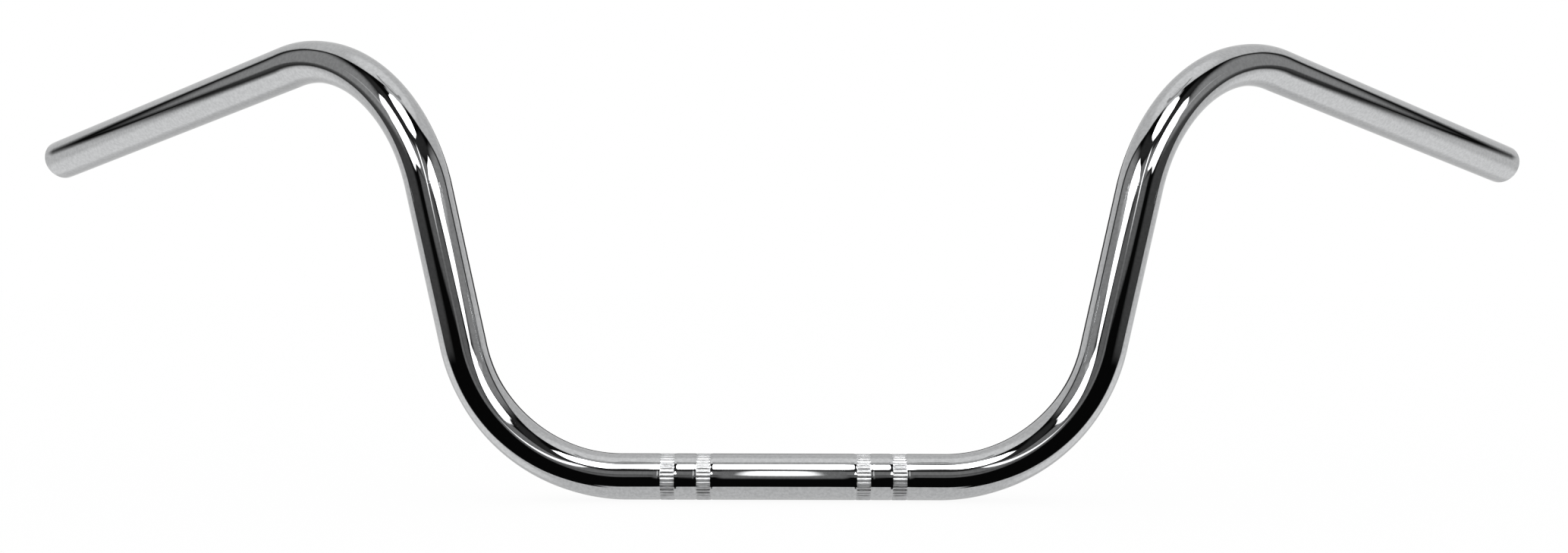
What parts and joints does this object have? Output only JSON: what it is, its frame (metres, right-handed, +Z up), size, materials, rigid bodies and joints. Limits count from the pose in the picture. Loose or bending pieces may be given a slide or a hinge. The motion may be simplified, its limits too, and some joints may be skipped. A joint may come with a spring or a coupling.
{
  "type": "handlebar",
  "caption": "High-rise motorcycle handlebar bent from one chromed steel tube, with knurled clamp bands in the middle and straight grip sections swept back to open ends.",
  "frame": {"origin": "middle of the clamp section, on the tube's axis", "axes": "+X along the clamp section to the rider's left, +Y back towards the rider, +Z up along the plane of the risers"},
  "size_m": [0.8676, 0.194, 0.2268],
  "materials": {
    "polished_chrome": "bright decorative chrome plate over polished steel tube",
    "knurled_chrome": "the same chrome plate over rolled straight knurling, which reads as satin"
  },
  "bodies": {
    "root": {"centre_span": "polished_chrome", "left_inner_knurl": "knurled_chrome", "left_clamp_land": "polished_chrome", "left_outer_knurl": "knurled_chrome", "left_shoulder": "polished_chrome", "left_lower_bend": "polished_chrome", "left_riser": "polished_chrome", "left_upper_bend": "polished_chrome", "left_grip_section": "polished_chrome", "right_inner_knurl": "knurled_chrome", "right_clamp_land": "polished_chrome", "right_outer_knurl": "knurled_chrome", "right_shoulder": "polished_chrome", "right_lower_bend": "polished_chrome", "right_riser": "polished_chrome", "right_upper_bend": "polished_chrome", "right_grip_section": "polished_chrome"}
  },
  "joints": []
}
